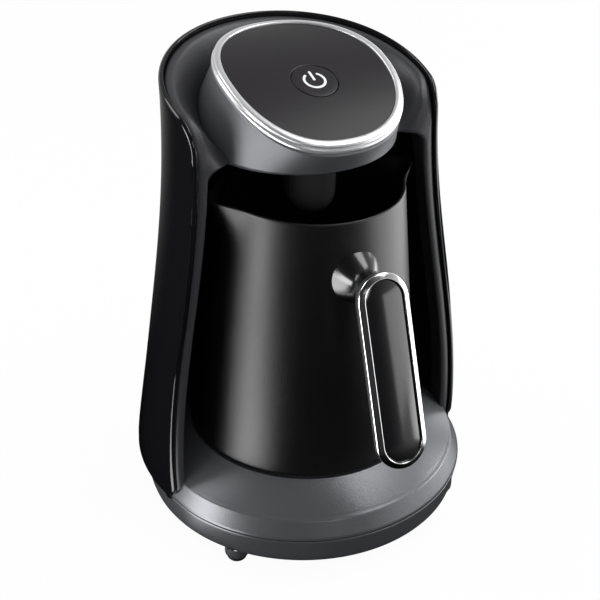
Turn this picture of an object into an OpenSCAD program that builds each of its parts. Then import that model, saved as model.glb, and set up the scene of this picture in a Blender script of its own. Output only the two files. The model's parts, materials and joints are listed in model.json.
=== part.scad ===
// Electric Turkish coffee maker: a standing body that wraps round a removable pot with spouts
// on both sides, a sensing head above the pot's mouth and a power base below it.
// Millimetres. +Z is up and the open front, with the pot's handle, faces -Y.

/* [Base] */
// Width of the base at its seam
base_w = 140.4; // [134:0.2:150]
// Place of the base's widest line, front to back
base_y = 2.4; // [0:0.1:8]
// Reach of the base forward of that line
base_front = 67.2; // [60:0.1:72]
// Reach of the base behind that line
base_back = 79.2; // [70:0.1:84]
// Height of the seam between the upper and the lower base shell
seam_z = 18.6; // [17.4:0.1:20]
// Height of the shoulder where the side turns into the sloping top
shoulder_z = 26.2; // [24:0.1:30.4]
// How far the leaning side brings that shoulder inwards
shoulder_in = 4.2; // [2:0.1:6]
// Height of the base's top face at the pot's seat
seat_z = 34.4; // [33.4:0.1:36.4]
// Wall thickness of both base shells
base_wall = 2.2; // [1.6:0.1:3]
// Height of the lower shell's underside
tray_z = 5.4; // [5:0.1:7]
// Height of the rubber feet
foot_h = 3; // [2:0.1:4]
// Radius of the rubber feet
foot_r = 4.4; // [4:0.1:6]
// Distance of the feet from the base's sides
foot_side = 20; // [18:0.5:26]
// Distance of the front feet from the base's front
foot_from_front = 29.8; // [26:0.2:36]
// Distance of the rear feet from the base's back
foot_from_back = 31.6; // [26:0.2:38]

/* [Standing body] */
// Height of the narrowest place of the outer shell
waist_z = 171.4; // [162:0.2:177]
// Width of the outer shell at that place
waist_w = 111.6; // [108:0.2:120]
// Width of the outer shell at the base's seam
heel_w = 144.2; // [138:0.2:146]
// How far the sides flare out again up to the rim
flare = 0.9; // [0:0.1:2]
// Depth from the middle to the upright back
back_y = 70; // [68:0.2:74]
// How far the shell's lower edge tucks in to meet the base
tuck = 0.6; // [0:0.1:2]
// How far the back flares out at the base
heel_out = 11.8; // [8:0.2:13]
// Height of that flare
heel_h = 60; // [40:1:80]
// How far the back leans in again at the rim
rim_in = 2.1; // [0:0.1:4]
// Middle of the plan outlines above the base
middle_low = 4.4; // [2:0.1:7]
// Middle of the plan outlines at the rim
middle_top = 14.6; // [12:0.1:16]
// Wall thickness of the outer shell
shell_wall = 2; // [1.6:0.1:2.6]
// Width of the frame's strip beside the shell
strip_w = 4.5; // [3.5:0.1:6]
// How far the frame sits below the shell's edge
frame_inset = 0.8; // [0.4:0.1:1.2]
// Height of the rim where its straight top line crosses the middle
rim_z = 180.1; // [176:0.1:183]
// Rise of the rim line towards the back, per millimetre
rim_slope = 0.249; // [0.2:0.005:0.3]
// Front edge of the body at the floor
edge_y = -14.2; // [-18:0.1:-11]
// How far the front edge leans back, per millimetre of height
edge_slope = 0.0705; // [0.04:0.005:0.1]
// Radius of the shell's upper front corner
corner_r = 15; // [10:0.5:20]
// Radius of the shell's lower front corner
toe_r = 6; // [3:0.5:8]
// Depth of the hollow around the head
dish_depth = 13.5; // [11:0.5:14.5]
// Height of the ceiling over the pot
ceiling_z = 161.9; // [160.4:0.1:164]
// Half width of the cavity at its rounded upper corners
arch_w = 49; // [46:0.5:52]
// Radius of those corners
arch_r = 7; // [5:0.5:12]
// Depth of the frame's two front posts
post_d = 12; // [8:0.5:18]
// Wall thickness of the black liner
liner_wall = 2; // [1.6:0.1:2.4]

/* [Head] */
// Height of the head's lower edge
head_z = 160.9; // [159.4:0.1:162]
// Radius of the head's lower edge
head_r = 42; // [38:0.5:44]
// Centre of the head's lower edge, front to back
head_y = 22.7; // [20:0.1:25]
// Radius of the bow of the top face
bow_r = 162; // [150:1:200]
// Height of the bow's highest line
crown_z = 197.4; // [194:0.2:200]
// Place of the bow's centre, front to back
bow_y = 57; // [45:0.5:65]
// Half width of the panel
panel_w = 32.5; // [28:0.1:34]
// Place of the panel's widest line
panel_y = 12; // [8:0.5:16]
// Reach of the panel forward of that line
panel_front = 35; // [30:0.5:36]
// Reach of the panel behind that line
panel_back = 35.6; // [30:0.2:37]
// Thickness of the panel
panel_t = 2.4; // [1.8:0.1:3]
// Width of the bright ring around the panel
ring_w = 3.3; // [2:0.1:4]
// Height of the bright ring
ring_h = 3.4; // [2.5:0.1:4]
// Wall thickness of the head
head_wall = 2.2; // [1.8:0.1:3]
// Half width of the sensor window
window_r = 9.8; // [8:0.1:11]
// Lowest point of the sensor window
window_z = 133.2; // [130:0.2:139]
// Place of the sensor window, front to back
window_y = 6.9; // [0:0.1:9]
// Length of the sensor window as a share of its width
window_long = 1.35; // [1:0.05:1.5]

/* [Button] */
// Place of the button on the panel, front to back
button_y = 5.33; // [3:0.01:8]
// Radius of the button's opening
button_r = 9.4; // [8:0.1:10.5]
// Gap around the button
button_gap = 0.3; // [0.2:0.05:0.5]
// Distance from the panel's face down to the control board
board_drop = 13; // [12:0.5:15]

/* [Pot] */
// Centre of the pot, front to back
pot_y = 4.66; // [3:0.1:7]
// Height of the pot's lower edge
pot_z = 35.8; // [35.4:0.1:37]
// Outer radius of the pot's lower edge
pot_r = 49.4; // [46:0.1:52]
// Height of the pot's rim
rim_top = 146.6; // [142:0.2:147.4]
// Outer radius of the pot's rim
rim_r = 37.6; // [34:0.1:38.5]
// Wall thickness of the pot
pot_wall = 1.2; // [0.8:0.1:2]
// How far the two spouts reach out of the rim
spout_out = 8.2; // [4:0.2:9]
// How far the spouts rise above the rim
spout_up = 1.4; // [0:0.1:1.6]
// Height of the inner floor above the pot's lower edge
floor_up = 13; // [12:0.5:18]
// Thickness of the pot's base cover
cover_t = 2.6; // [2:0.1:3]
// Outer radius of the pot's half of the coupler
coupler_r = 15; // [13:0.5:18]
// Radius of the base's contact post
post_r = 5; // [4:0.1:6]
// Running gap between pot and base parts
run_gap = 0.3; // [0.2:0.05:0.4]

/* [Handle] */
// Height of the grip's upper end
grip_top_z = 134.5; // [131:0.1:138]
// Place of the grip's upper end, front to back
grip_top_y = -52.4; // [-56:0.1:-50]
// Length of the grip
grip_l = 77; // [66:0.5:80]
// Width of the grip
grip_w = 21.6; // [18:0.2:26]
// Lean of the grip, lower end outwards
grip_lean = 21.5; // [18:0.5:24]
// Thickness of the grip
grip_t = 5.6; // [5:0.1:11]
// Depth of the bright trim
trim_d = 2.8; // [2:0.1:6]
// Width of the bright trim's face
trim_w = 2.6; // [1.6:0.1:3.4]
// Height of the neck's middle
neck_z = 123.4; // [119:0.2:127]
// Radius of the neck
neck_r = 6.3; // [5:0.1:7]
// Radius of the neck's flared root
root_r = 10.4; // [8:0.1:12]

/* [Inside] */
// Width of the flat cable
cable_w = 12; // [8:0.5:14]
// Thickness of the flat cable
cable_t = 1.2; // [0.8:0.1:1.4]
// Length of the power board
power_l = 60; // [50:1:64]
// Width of the power board
power_w = 34; // [30:1:36]
// Radius of the heater's plate
plate_r = 38; // [34:0.5:42]
// Radius of the heating element's bend
element_r = 30; // [26:0.5:34]
// Radius of the heating element's tube
element_t = 3; // [2.4:0.1:3.4]
// Radius of the thermostat
thermostat_r = 9; // [7:0.5:12]

/* [Hidden] */

STEPS = 72;          // points around a plan outline
FINE = 96;           // facets of a plain round piece
FAR = 120;           // reach of a cutting body past the model
origin_shift = -0.8; // moves the base's middle so that the whole footprint is centred
fit = 0.1;           // gap between pieces that are fixed to each other
lap = 0.5;           // gap between curved pieces whose facets differ
foot_x = base_w / 2 - foot_side;
foot_front = base_y - base_front + foot_from_front;
foot_rear = base_y + base_back - foot_from_back;

rim_level = 191.4;   // where the rim's widths are taken
top_z = rim_z + rim_slope * FAR; // above everything
bow_z = crown_z - bow_r;         // height of the bow's centre
cavity_off = shell_wall + strip_w;

function lerp(a, b, t) = a + (b - a) * t;
function clamp01(t) = min(1, max(0, t));
function ease(t) = (1 - cos(180 * clamp01(t))) / 2;

// Half width, back, middle and half depth of the standing body at a height
function side_a(z) = lerp(heel_w, waist_w, ease((z - seam_z) / (waist_z - seam_z))) / 2
    + flare * pow(max(0, (z - waist_z) / (rim_level - waist_z)), 2) - tuck * heel(z, 12);
function heel(z, h) = pow(1 - clamp01((z - seam_z) / h), 2);
function side_back(z) = back_y + heel_out * heel(z, heel_h)
    - rim_in * pow(max(0, (z - waist_z + 8) / (rim_level - waist_z + 8)), 2);
function side_y(z) = lerp(middle_low, middle_top, ease((z - seam_z - 40) / (rim_level - seam_z - 40)))
    + 4 * heel(z, heel_h - 15);
function side_b(z) = side_back(z) - side_y(z);

function oval(a, b, cy, z, n = STEPS) =
    [for (i = [0 : n - 1]) [a * cos(360 * i / n), cy + b * sin(360 * i / n), z]];

// Height of the rim plane and of the head's bowed top face
function rim_plane(y) = rim_z + rim_slope * y;
function bow(y, r) = bow_z + sqrt(r * r - (y - bow_y) * (y - bow_y));

// Plan outline of the panel, widened by off
function power_sign(v, e) = sign(v) * pow(abs(v), e);
function egg(off, n = STEPS) = [for (i = [0 : n - 1]) let (t = 360 * i / n, s = sin(t), c = cos(t),
    reach = s > 0 ? panel_back : panel_front, e = s > 0 ? 2 / 2.05 : 2 / 2.35)
    [(panel_w + off) * power_sign(c, e), panel_y + (reach + off) * power_sign(s, e)]];

// Points of an arc of radius r that rounds the corner p between the unit directions u and v
function unit(v) = v / norm(v);
function corner_arc(p, u, v, r, n = 10) = let (half = acos(u * v) / 2, m = unit(u + v),
    c = p + m * r / sin(half), a0 = atan2(p.y + u.y * r / tan(half) - c.y, p.x + u.x * r / tan(half) - c.x),
    turn = 180 - 2 * half, dir = u.x * v.y - u.y * v.x > 0 ? -1 : 1)
    [for (i = [0 : n]) c + r * [cos(a0 + dir * turn * i / n), sin(a0 + dir * turn * i / n)]];

// Moves a piece from the base's own middle to the middle of the whole footprint
module placed() translate([0, origin_shift, 0]) children();

// Closed solid through plan rings of equal length, capped at both ends
module skin(rings) {
    n = len(rings[0]);
    m = len(rings);
    polyhedron(points = [for (r = rings) each r], faces = concat(
        [[for (i = [0 : n - 1]) i]],
        [for (k = [0 : m - 2]) for (i = [0 : n - 1]) let (j = (i + 1) % n)
            each [[k * n + i, (k + 1) * n + i, k * n + j], [k * n + j, (k + 1) * n + i, (k + 1) * n + j]]],
        [[for (i = [n - 1 : -1 : 0]) (m - 1) * n + i]]), convexity = 6);
}

// The standing body's solid, its walls moved in by off
module body_solid(off, z0, z1, count = 14)
    skin([for (k = [0 : count]) let (z = lerp(z0, z1, k / count))
        oval(side_a(z) - off, side_b(z) - off, side_y(z), z)]);

// What lies behind the body's front edge and under its rim, moved in by inset and cut at z0
module side_profile(inset, z0, toe = toe_r) {
    front_dir = unit([edge_slope, 1]);
    top_dir = unit([1, rim_slope]);
    foot_pt = [edge_y + inset + edge_slope * z0, z0];
    top_y = (edge_y + inset + edge_slope * (rim_z - inset)) / (1 - edge_slope * rim_slope);
    top_pt = [top_y, rim_z - inset + rim_slope * top_y];
    rotate([90, 0, 90]) linear_extrude(height = 2 * FAR, center = true)
        polygon(concat(corner_arc(foot_pt, [1, 0], front_dir, toe, 8),
            corner_arc(top_pt, -front_dir, top_dir, corner_r - inset, 12),
            [[FAR, rim_z - inset + rim_slope * FAR], [FAR, z0]]));
}

// A block behind the slanted line that lies dist behind the front edge
module behind_edge(dist) rotate([90, 0, 90]) linear_extrude(height = 2 * FAR, center = true)
    polygon([[edge_y + dist, 0], [edge_y + dist + edge_slope * 2 * FAR, 2 * FAR], [2 * FAR, 2 * FAR], [2 * FAR, 0]]);

// Plan outline of the base, moved in by inset
function base_ring(inset, z) = [for (i = [0 : STEPS - 1]) let (t = 360 * i / STEPS)
    [(base_w / 2 - inset) * cos(t), base_y + ((sin(t) > 0 ? base_back : base_front) - inset) * sin(t), z]];

// Outer form of the upper base shell: upright side, round shoulder, top rising to the pot
module base_dome(off, z0 = seam_z) {
    low = base_ring(off + shoulder_in + 0.5, shoulder_z + 0.2 - 0.8 * off);
    lip = oval(pot_r + 1, pot_r + 1, pot_y, (off > 0 ? seat_z : lip_z) - off);
    skin([base_ring(off, z0),
        base_ring(off + 0.9 * shoulder_in, lerp(seam_z, shoulder_z, 0.9) - 0.5 * off), low,
        [for (i = [0 : STEPS - 1]) lerp(low[i], lip[i], 0.3) + [0, 0, 0.4]],
        [for (i = [0 : STEPS - 1]) lerp(low[i], lip[i], 0.65) + [0, 0, 0.3]], lip]);
}
lip_z = pot_z - 0.2;

// Outer form of the lower base shell
module base_tray(off) skin([
    base_ring(off + 4, tray_z + off), base_ring(off + 1.9, tray_z + 0.3 + off),
    base_ring(off + 1, tray_z + 1.6), base_ring(off, seam_z)]);

// Outer form of the head: a round lower edge that grows into the ring's outline
module head_solid(off) {
    top = [for (p = egg(ring_w - 0.5 + off)) [p.x, p.y, bow(p.y, bow_r - ring_h + 1.2)]];
    foot = oval(head_r + off, head_r + off, head_y, head_z);
    rings = [for (t = [0 : 0.125 : 1]) [for (i = [0 : STEPS - 1]) let (e = pow(t, 1.25))
        [lerp(foot[i].x, top[i].x, e), lerp(foot[i].y, top[i].y, e), lerp(head_z, top[i].z, t)]]];
    skin(concat(rings, [[for (p = top) [p.x, p.y, 210]]]));
}

module bow_body(r) translate([0, bow_y, bow_z]) rotate([0, 90, 0])
    cylinder(r = r, h = 2 * FAR, center = true, $fn = 720);

module egg_prism(off) linear_extrude(height = 230) polygon(egg(off));

// The button's own frame: its middle on the panel's face, +Z out of the panel
button_tilt = asin((bow_y - button_y) / bow_r);
module at_button() translate([0, button_y, bow(button_y, bow_r)]) rotate([button_tilt, 0, 0]) children();

module rod(r, z0, z1, fn = FINE) translate([0, 0, z0]) cylinder(r = r, h = z1 - z0, $fn = fn);
module tube(r, bore, z0, z1) difference() {
    rod(r, z0, z1);
    rod(bore, z0 - 1, z1 + 1);
}
module block(size, z0) translate([-size.x / 2, -size.y / 2, z0]) cube(size);

// ---------------------------------------------------------------- standing body

module outer_shell() color("#101114") placed() intersection() {
    difference() {
        body_solid(0, seam_z - 2, top_z);
        body_solid(shell_wall, seam_z - 4, top_z + 2);
    }
    side_profile(0, seam_z + fit);
}

// The cavity's outline seen from the front, with rounded upper corners
module cavity_outline() rotate([90, 0, 0]) linear_extrude(height = 2 * FAR, center = true)
    let (w = side_a(seat_z), top = ceiling_z + 2)
        polygon(concat([[-w, seam_z], [w, seam_z], [w, 70]], corner_arc([arch_w, top], [0, -1], [-1, 0], arch_r, 8),
            corner_arc([-arch_w, top], [1, 0], [0, -1], arch_r, 8), [[-w, 70]]));

dish_levels = [[0.55, 1], [0.74, 1], [0.80, 0.93], [0.85, 0.78], [0.895, 0.52], [0.925, 0.25], [0.96, -0.6]];
module dish() {
    a = side_a(rim_level) - shell_wall;
    b = side_b(rim_level) - shell_wall;
    cy = side_y(rim_level);
    skin([for (l = dish_levels) [for (p = oval(a * l[0], b * l[0], cy, 0))
        [p.x, p.y, rim_plane(p.y) - frame_inset - dish_depth * l[1]]]]);
}

module front_frame() color("#3d3f43") placed() difference() {
    intersection() {
        body_solid(shell_wall + fit, seam_z - 4, top_z + 2);
        side_profile(frame_inset, seam_z + fit, toe_r - frame_inset);
    }
    intersection() {
        body_solid(cavity_off, seam_z - 2, rim_level);
        cavity_outline();
    }
    intersection() {
        translate([-FAR, -FAR, 0]) cube([2 * FAR, 3 * FAR, ceiling_z + liner_wall]);
        behind_edge(post_d);
    }
    dish();
    head_solid(fit);
    collar_hollow();
    cable_slot();
    cable_notch();
}

// Takes the inside of the collar away under its dish
module collar_hollow() intersection() {
    body_solid(shell_wall + liner_wall, ceiling_z - 2, top_z);
    rotate([90, 0, 90]) linear_extrude(height = 2 * FAR, center = true)
        polygon([[18, ceiling_z], [18, rim_plane(18) - dish_depth - 3.2],
            [FAR, rim_plane(FAR) - dish_depth - 3.2], [FAR, ceiling_z]]);
}

module cavity_liner() color("#0b0b0d") placed() difference() {
    intersection() {
        body_solid(cavity_off - liner_wall, seam_z + 4, ceiling_z + liner_wall, 9);
        behind_edge(post_d + fit);
    }
    body_solid(cavity_off, seam_z, ceiling_z, 9);
    head_solid(fit);
}

// The way of the flat cable from the back of the body into the head
cable_x = 14;
module cable_slot() translate([cable_x, 55, ceiling_z + 3]) block([cable_w + 4, 26.8, 8], 0);
module cable_notch() translate([cable_x, 60 + FAR / 2, 0]) block([cable_w + 4, FAR, 15], ceiling_z - 4);

// ---------------------------------------------------------------- head

module head_housing() color("#66686c") placed() difference() {
    intersection() {
        head_solid(0);
        bow_body(bow_r - ring_h);
    }
    head_solid(-head_wall);
    translate([0, head_y, 0]) rod(head_r - head_wall - 1, head_z - 1, head_z + 3);
    translate([0, 0, 100]) egg_prism(-1.6);
    cable_slot();
    for (p = head_screw_places()) translate([p.x, p.y, 0]) rod(1.6, head_z - 1, head_z + 8, 32);
}
function head_screw_places() = [for (x = [-1, 1]) [x * 35, head_y + 4]];

module head_underside() color("#141416") placed() difference() {
    translate([0, head_y, 0]) rod(head_r - head_wall - 1 - fit, head_z + 0.6, head_z + 2.8);
    window_shape(fit, 1);
    for (p = head_screw_places()) translate([p.x, p.y, 0]) rod(1.6, head_z - 1, head_z + 8, 32);
}

module trim_ring() color("#d5d6d8") placed() difference() {
    intersection() {
        egg_prism(ring_w);
        bow_body(bow_r + 0.6);
    }
    bow_body(bow_r - ring_h + fit);
    egg_prism(0);
}

module top_panel() color("#322f32") placed() difference() {
    intersection() {
        egg_prism(-fit);
        bow_body(bow_r);
    }
    bow_body(bow_r - panel_t);
    at_button() rod(button_r, -20, 20);
}

board_w = 42;
board_l = 28;
board_t = 1.6;
module control_board() color("#1f6b3c") placed() at_button() difference() {
    block([board_w, board_l, board_t], -board_drop);
    for (x = [-1, 1]) translate([x * (board_w / 2 - 3), 0, 0]) rod(1.6, -board_drop - 1, 0, 32);
}

switch_h = 3.5;
module tact_switch() color("#26272a") placed() at_button() difference() {
    block([6, 6, switch_h], board_t - board_drop);
    rod(1.9, board_t - board_drop + 1.2, 0, 32);
}

module buzzer() color("#17181a") placed() at_button() translate([-13, 7, 0]) difference() {
    rod(5, board_t - board_drop, board_t - board_drop + 4.5);
    rod(0.8, board_t - board_drop + 3, 0, 24);
}

module indicator_led() color("#f4f6f8") placed() at_button() translate([6.4, 0, 0])
    block([2.8, 2.8, 1.4], board_t - board_drop);

// The window's outer form, grown by off; its neck passes the underside plate
module window_shape(off, up) translate([0, window_y, 0]) scale([1, window_long, 1]) {
    top_z = head_z + 3 + up;
    round_z = window_z + 11;
    skin(concat([for (a = [8 : 10 : 88]) oval((window_r + off) * sin(a), (window_r + off) * sin(a), 0,
        round_z - 11 * cos(a) - off, 48)], [oval(window_r + off, window_r + off, 0, top_z, 48)]));
}

module sensor_window() color("#3a3b3e", 0.85) placed() difference() {
    union() {
        window_shape(0, 0);
        translate([0, window_y, 0]) scale([1, window_long, 1]) rod(window_r + 2, head_z + 2.8 + fit, head_z + 4.4);
    }
    translate([0, window_y, 0]) scale([1, window_long, 1]) {
        rod(window_r - 2, window_z + 9, head_z + 6);
        rod(window_r - 5, window_z + 4, head_z + 6);
    }
}

module sensor_board() color("#1f6b3c") placed() translate([0, window_y, 0]) difference() {
    block([22, 30, 1.4], head_z + 4.4 + fit);
    rod(1.6, head_z, head_z + 9, 32);
}

module screw(r, l, head = 1.7) {
    rod(r * 1.8, 0, head, 32);
    rod(r, -l, 0, 32);
}

module board_screws() color("#b9bcc0") placed() at_button()
    for (x = [-1, 1]) translate([x * (board_w / 2 - 3), 0, board_t - board_drop]) screw(1.4, 5);

module head_screws() color("#b9bcc0") placed() for (p = head_screw_places())
    translate([p.x, p.y, head_z + 0.5]) mirror([0, 0, 1]) screw(1.5, 5, 0.4);

// ---------------------------------------------------------------- base

module base_upper() color("#5d5f63") placed() difference() {
    union() {
        difference() {
            base_dome(0);
            base_dome(base_wall, seam_z - 1);
        }
        intersection() {
            for (p = screw_places()) translate([p.x, p.y, 0]) rod(3.4, tray_z + base_wall + fit, seat_z - 1);
            base_dome(0.5, tray_z);
        }
    }
    for (p = screw_places()) translate([p.x, p.y, 0]) rod(1.6, tray_z, tray_z + 9, 32);
    intersection() {
        difference() {
            block([4 * FAR, 4 * FAR, seat_z + 30 - seam_z], seam_z - 4);
            body_solid(cavity_off + lap, seam_z - 6, seat_z + 28, 6);
        }
        side_profile(-fit, seam_z - 3, 1);
        behind_edge(-fit);
    }
    translate([0, pot_y, 0]) {
        rod(coupler_r + 1.5, seat_z - 8, seat_z + 3);
        rod(pot_r + 0.6, seat_z, seat_z + 3);
        tube(pot_r + 0.6, pot_r - 4, seat_z - 0.7, seat_z + 3);
    }
}
module foot_boss() translate([0, 0, foot_h - 0.6])
    cylinder(r1 = foot_r + 0.6, r2 = foot_r + 1.7, h = tray_z + base_wall - foot_h + 1, $fn = FINE);
module base_lower() color("#515357") placed() difference() {
    union() {
        difference() {
            base_tray(0);
            base_tray_hollow();
        }
        for (p = foot_places()) translate(p) foot_boss();
        for (x = [-1, 1]) translate([x * post_x, board_y, 0]) rod(3.2, tray_z + 1, power_z - fit);
    }
    for (p = foot_places()) translate(p) rod(foot_r + fit, 0, foot_h);
    for (p = screw_places()) translate([p.x, p.y, 0]) {
        rod(1.6, 0, 30, 32);
        rod(2.8, 0, tray_z + 0.4, 32);
    }
    translate([0, base_y, gland_z]) rotate([-90, 0, 0]) rod(gland_r + fit, base_back - 14, base_back + 5);
}
module base_tray_hollow() skin([
    base_ring(base_wall + 3.4, tray_z + base_wall), base_ring(base_wall + 1.2, tray_z + base_wall + 1.6),
    base_ring(base_wall, seam_z + 1)]);

function screw_places() = [for (p = foot_places()) [p.x * 0.78, lerp(base_y, p.y, 0.78)]];
function foot_places() = [for (y = [-1, 1]) for (x = [-1, 1]) [x * foot_x, y < 0 ? foot_front : foot_rear, 0]];
module foot(i) color("#2a2a2c") placed() translate(foot_places()[i]) {
    rod(foot_r - 0.8, 0, 1.4);
    rod(foot_r, 1.2, foot_h - fit);
}
module foot_front_left() foot(0);
module foot_front_right() foot(1);
module foot_rear_left() foot(2);
module foot_rear_right() foot(3);

socket_z = seat_z - 9;
module coupler_socket() color("#1a1a1c") placed() translate([0, pot_y, 0]) difference() {
    union() {
        rod(coupler_r + 1.5 - fit, socket_z, seat_z - 0.2);
        rod(coupler_r + 4.5, socket_z, seat_z - base_wall - fit);
        rod(post_r, seat_z - 1, pot_z + 4);
    }
    tube(post_r + 5.5, post_r + 3.5, seat_z - 3, seat_z + 1);
    for (x = [-1, 1]) translate([x * (coupler_r + 3), 0, 0]) rod(1.3, socket_z - 1, seat_z - base_wall, 32);
}

module coupler_screws() color("#b9bcc0") placed() for (x = [-1, 1])
    translate([x * (coupler_r + 3), pot_y, socket_z]) mirror([0, 0, 1]) screw(1.2, 4.5);

power_z = tray_z + base_wall + 3;
board_y = -31;
post_x = 25;
module power_board() color("#1f6b3c") placed() difference() {
    translate([0, board_y, 0]) block([power_l, power_w, 1.6], power_z);
    for (x = [-1, 1]) translate([x * post_x, board_y, 0]) rod(1.7, power_z - 1, power_z + 3, 32);
}
module power_relay() color("#2b4c8c") placed() translate([-10, board_y - 2, 0]) block([19, 15.5, 12], power_z + 1.6);
module terminal_block() color("#d9dbd6") placed() translate([11, board_y - 2, 0]) difference() {
    block([18, 10, 10], power_z + 1.6);
    for (x = [-4.5, 4.5]) translate([x, 0, 0]) rod(2, power_z + 6, power_z + 13, 32);
}

gland_z = 13;
gland_r = 3.9;
module cord_gland() color("#1a1a1c") placed() translate([0, base_y, gland_z]) rotate([-90, 0, 0]) difference() {
    union() {
        rod(gland_r, base_back - 9, base_back - 1);
        rod(gland_r + 1.2, base_back - 9, base_back - 6);
    }
    rod(3.1, base_back - 10, base_back);
}

module base_screws() color("#b9bcc0") placed() for (p = screw_places())
    translate([p.x, p.y, tray_z + 0.3]) mirror([0, 0, 1]) screw(1.5, 8, 0.2);

// A flat cable between the liner and the shell, up the back and into the head
module wire_loom() color("#c8322b") placed() intersection() {
    body_solid(shell_wall + 0.7, seam_z - 2, rim_level, 9);
    union() {
        difference() {
            translate([cable_x, FAR / 2 + 20, 0]) block([cable_w, FAR, ceiling_z + 6.2 - seam_z], seam_z + 1);
            body_solid(shell_wall + 0.7 + cable_t, seam_z - 2, rim_level, 9);
        }
        translate([cable_x, 58, 0]) block([cable_w, 29, cable_t], ceiling_z + 6);
    }
}

// ---------------------------------------------------------------- pot

function wall_r(z) = lerp(pot_r, rim_r, (z - pot_z) / (rim_top - pot_z));
spout_z = 24;
function spout(t) = exp(-pow(min(abs(t), abs(abs(t) - 180)) / 13, 2));
function pot_ring(off, z, lift) = [for (i = [0 : FINE - 1]) let (t = 360 * i / FINE - (i > FINE / 2 ? 360 : 0),
    k = clamp01((z - rim_top + spout_z) / spout_z), grow = spout(t) * pow(k, 2.2),
    r = wall_r(z) - off + spout_out * grow)
    [r * cos(t), r * sin(t), z + (spout_up + lift) * spout(t) * pow(k, 4)]];
pot_levels = [0, 0.5, 0.78, 0.82, 0.86, 0.9, 0.93, 0.96, 0.98, 1];

module pot_body() color("#161618") placed() translate([0, pot_y, 0]) difference() {
    skin(concat([for (k = pot_levels) pot_ring(0, lerp(pot_z, rim_top, k), 0)],
        [for (i = [len(pot_levels) - 1 : -1 : 0])
            pot_ring(pot_wall, lerp(pot_z + floor_up, rim_top, pot_levels[i]), 0)]));
    translate([0, 0, pot_z - 1]) cylinder(r1 = wall_r(pot_z - 1) - pot_wall,
        r2 = wall_r(pot_z + floor_up - 1.4) - pot_wall, h = floor_up - 0.4, $fn = FINE);
    translate([0, 0, neck_z]) rotate([90, 0, 0]) rod(1.7, 0, pot_r, 32);
}

module pot_base_cover() color("#1a1a1c") placed() translate([0, pot_y, 0]) difference() {
    rod(wall_r(pot_z) - pot_wall - 0.3, seat_z + run_gap, seat_z + run_gap + cover_t);
    rod(coupler_r - 2, seat_z - 1, pot_z + 10);
    tube(pot_r, pot_r - 5.2, seat_z, seat_z + 1.2);
    for (p = cover_screw_places()) translate(p) rod(1.3 + fit, seat_z - 1, pot_z + 9, 32);
}
function cover_screw_places() = [for (t = [30, 150, 270]) [24 * cos(t), 24 * sin(t), 0]];

coupler_top = pot_z + 6;
module pot_coupler() color("#222326") placed() translate([0, pot_y, 0]) difference() {
    union() {
        rod(coupler_r, seat_z + run_gap + cover_t + fit, coupler_top);
        rod(coupler_r - 2 - fit, seat_z + run_gap, coupler_top);
    }
    rod(post_r + run_gap, seat_z - 1, coupler_top - 1.4);
}

plate_z = pot_z + floor_up - 1.4;
module heater_plate() color("#b9bcc0") placed() translate([0, pot_y, 0])
    rod(plate_r, plate_z - 2 - fit, plate_z - fit);
module heating_element() color("#77797c") placed() translate([0, pot_y, plate_z - 2 - element_t - fit])
    rotate([0, 0, -75]) rotate_extrude(angle = 330, $fn = FINE) translate([element_r, 0]) circle(r = element_t, $fn = 32);
module thermostat() color("#c9a55a") placed() translate([0, pot_y, 0]) union() {
    rod(thermostat_r, coupler_top + fit, plate_z - 2 - 2 * fit);
}
module base_seal() color("#8c3a2e") placed() translate([0, pot_y, 0])
    tube(wall_r(pot_z + 3) - pot_wall - 0.4, wall_r(pot_z) - pot_wall - 4, seat_z + run_gap + cover_t, pot_z + 3.4);
module cover_screws() color("#b9bcc0") placed() for (p = cover_screw_places())
    translate([p.x, pot_y + p.y, seat_z + run_gap + 0.8]) rod(1.3, 0, 4, 32);

// ---------------------------------------------------------------- handle

// The grip's own frame: X across, Y up along its face, Z out of the face
module at_grip() translate([0, grip_top_y, grip_top_z]) rotate([90 - grip_lean, 0, 0]) children();
module stadium(off, z0, z1) translate([0, 0, z0]) linear_extrude(height = z1 - z0) union() {
    r = grip_w / 2 - off;
    for (y = [-grip_w / 2, -grip_l + grip_w / 2]) translate([0, y]) circle(r = r, $fn = FINE);
    translate([-r, -grip_l + grip_w / 2]) square([2 * r, grip_l - grip_w]);
}

module handle_trim() color("#dfe0e2") placed() at_grip() difference() {
    stadium(0, -trim_d, 0);
    stadium(trim_w, -trim_d - 1, 1);
}
module handle_inlay() color("#0d0d10") placed() at_grip() stadium(trim_w + fit, -trim_d + fit, -0.4);
module handle_grip() color("#35363a") placed() at_grip() {
    stadium(0.7, -grip_t + 1.6, -trim_d - fit);
    stadium(1.8, -grip_t, -grip_t + 1.6);
}

neck_end = [grip_top_y + (grip_top_z - neck_z) * -tan(grip_lean) + grip_t / cos(grip_lean)];
module handle_neck() color("#121214") placed() translate([0, 0, neck_z]) difference() {
    rotate([90, 0, 0]) rotate_extrude($fn = FINE) polygon(concat([[0, root_y()]],
        [for (a = [0 : 15 : 90]) [root_r - (root_r - neck_r) * sin(a), root_y() + 6 * (1 - cos(a))]],
        [[neck_r, -neck_end[0] + 4], [0, -neck_end[0] + 4]]));
    translate([0, 0, -neck_z]) {
        translate([0, pot_y, 0]) cylinder(r1 = wall_r(0) + fit, r2 = wall_r(200) + fit, h = 200, $fn = 180);
        at_grip() stadium(-4, -grip_t, 20);
    }
    rotate([90, 0, 0]) rod(1.7, 0, 80, 32);
}
function root_y() = wall_r(neck_z) - pot_y - 3;
module handle_screw() color("#b9bcc0") placed() translate([0, -wall_r(neck_z) + pot_y + pot_wall + 0.4, neck_z])
    rotate([90, 0, 0]) mirror([0, 0, 1]) {
        rod(3, 0, 1.4, 32);
        rod(1.5, -9, 0, 32);
    }

// ---------------------------------------------------------------- button

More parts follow.
